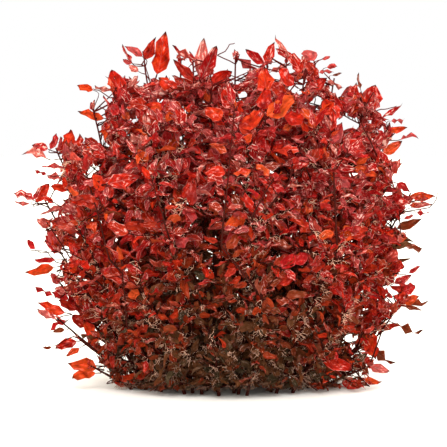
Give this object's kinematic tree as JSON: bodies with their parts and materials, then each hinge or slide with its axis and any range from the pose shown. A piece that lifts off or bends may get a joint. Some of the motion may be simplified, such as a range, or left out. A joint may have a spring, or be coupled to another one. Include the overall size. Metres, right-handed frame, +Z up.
{
  "type": "red aquatic stem plant",
  "caption": "Rounded, dense bush of a red marsh seedbox: thin upright stems with opposite pointed crimson to maroon leaves, cut off flat at the ground.",
  "frame": {"origin": "centre of the bush's box at ground level, in the plane of the flat cut ends of the stems", "axes": "+Z up, -Y out of the front that the picture shows, +X to the right seen from the front"},
  "size_m": [0.3158, 0.2632, 0.265],
  "materials": {
    "crown_red": "satin",
    "middle_red": "satin",
    "foot_maroon": "satin"
  },
  "bodies": {
    "root": {"stem_01": "crown_red", "stem_02": "crown_red", "stem_03": "crown_red", "stem_04": "crown_red", "stem_05": "crown_red", "stem_06": "crown_red", "stem_07": "crown_red", "stem_08": "crown_red", "stem_09": "middle_red", "stem_10": "middle_red", "stem_11": "middle_red", "stem_12": "middle_red", "stem_13": "foot_maroon", "stem_14": "foot_maroon", "stem_15": "foot_maroon", "stem_16": "crown_red", "stem_17": "crown_red", "stem_18": "middle_red", "stem_19": "middle_red", "stem_20": "middle_red", "stem_21": "middle_red", "stem_22": "foot_maroon", "stem_23": "foot_maroon", "stem_24": "foot_maroon", "stem_25": "crown_red", "stem_26": "crown_red", "stem_27": "crown_red", "stem_28": "middle_red", "stem_29": "middle_red", "stem_30": "foot_maroon", "stem_31": "crown_red", "stem_32": "middle_red", "stem_33": "middle_red", "stem_34": "crown_red", "stem_35": "foot_maroon", "stem_36": "crown_red", "stem_37": "middle_red", "stem_38": "foot_maroon", "stem_39": "crown_red", "stem_40": "middle_red", "stem_41": "middle_red", "stem_42": "middle_red", "stem_43": "middle_red", "stem_44": "foot_maroon", "stem_45": "crown_red", "stem_46": "foot_maroon", "stem_47": "middle_red", "stem_48": "crown_red", "stem_49": "foot_maroon", "stem_50": "crown_red", "stem_51": "middle_red"}
  },
  "joints": []
}
